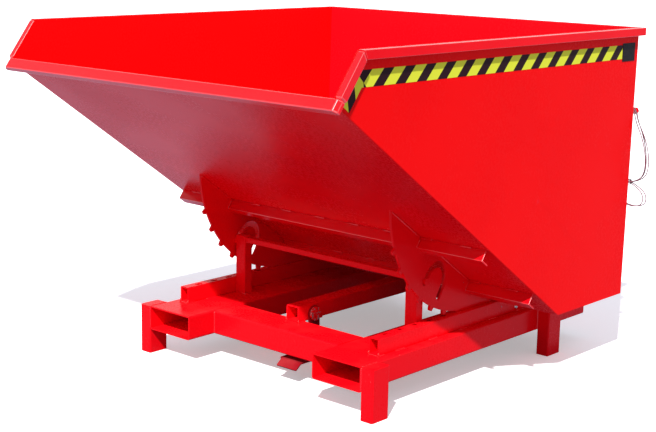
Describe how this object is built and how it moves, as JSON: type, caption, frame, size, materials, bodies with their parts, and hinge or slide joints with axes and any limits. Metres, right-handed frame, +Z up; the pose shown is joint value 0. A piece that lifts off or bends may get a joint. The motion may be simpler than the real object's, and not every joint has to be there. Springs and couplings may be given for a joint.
{
  "type": "tipping skip",
  "caption": "Steel tipping skip with a sloped floor that rolls forward on toothed rockers over the slotted rails of a low base with fork pockets",
  "frame": {"origin": "middle of the whole at the floor", "axes": "Z up; the skip tips towards -Y; X is to the right seen from the tipping side"},
  "size_m": [1.5988, 1.815, 1.248],
  "materials": {
    "red_paint": "satin red paint",
    "zinc": "zinc plated",
    "dark_steel": "dark paint",
    "tape": "black and yellow striped film",
    "label": "bare black plate",
    "rope": "wire rope in a thin clear red sleeve"
  },
  "bodies": {
    "base": {"centre_tube": "red_paint", "fork_pocket_left": "red_paint", "fork_pocket_right": "red_paint", "front_beam": "red_paint", "guide_pins": "red_paint", "latch_striker": "red_paint", "leg_front_left": "red_paint", "leg_front_right": "red_paint", "leg_rear_left": "red_paint", "leg_rear_right": "red_paint", "post_cross_bar": "red_paint", "post_left": "red_paint", "post_right": "red_paint", "rail_left": "red_paint", "rail_right": "red_paint", "rear_beam": "red_paint", "striker_ears": "red_paint", "trip_stop": "red_paint"},
    "carriage": {"axis_discs": "red_paint"},
    "skip": {"bottom_plate": "red_paint", "hazard_tape_left": "tape", "hazard_tape_right": "tape", "label_plate": "label", "latch_ears": "red_paint", "latch_pin": "zinc", "rear_wall": "red_paint", "rim_lip": "red_paint", "rim_rear": "red_paint", "rim_side_left": "red_paint", "rim_side_right": "red_paint", "rim_slope_left": "red_paint", "rim_slope_right": "red_paint", "rocker_left": "red_paint", "rocker_right": "red_paint", "rope_ferrule": "zinc", "rope_hank": "rope", "rope_line": "rope", "rope_lug": "red_paint", "rope_tie": "label", "side_panel_left": "red_paint", "side_panel_right": "red_paint", "sloped_floor": "red_paint", "stiffener_lower": "red_paint", "stiffener_upper": "red_paint"},
    "trip_lever": {"trip_arm": "dark_steel", "trip_pedal": "dark_steel", "trip_shaft": "red_paint"},
    "latch_hook": {"latch_hook": "red_paint"}
  },
  "joints": [
    {"name": "rolling", "type": "slide", "parent": "base", "child": "carriage", "axis": [0, -1, 0], "range_m": [0, 0.50454]},
    {"name": "tipping", "type": "hinge", "parent": "carriage", "child": "skip", "pos_m": [0, 0.17552, 0.6825], "axis": [1, 0, 0], "range_deg": [0, 66]},
    {"name": "trip", "type": "hinge", "parent": "base", "child": "trip_lever", "pos_m": [0, -0.15748, 0.2075], "axis": [1, 0, 0], "range_deg": [-4, 0]},
    {"name": "latch", "type": "hinge", "parent": "skip", "child": "latch_hook", "pos_m": [0, 0.82152, 0.302], "axis": [1, 0, 0], "range_deg": [0, 8]}
  ],
  "couplings": [
    {"joint": "rolling", "follows": "tipping", "m_per_rad": 0.438}
  ]
}
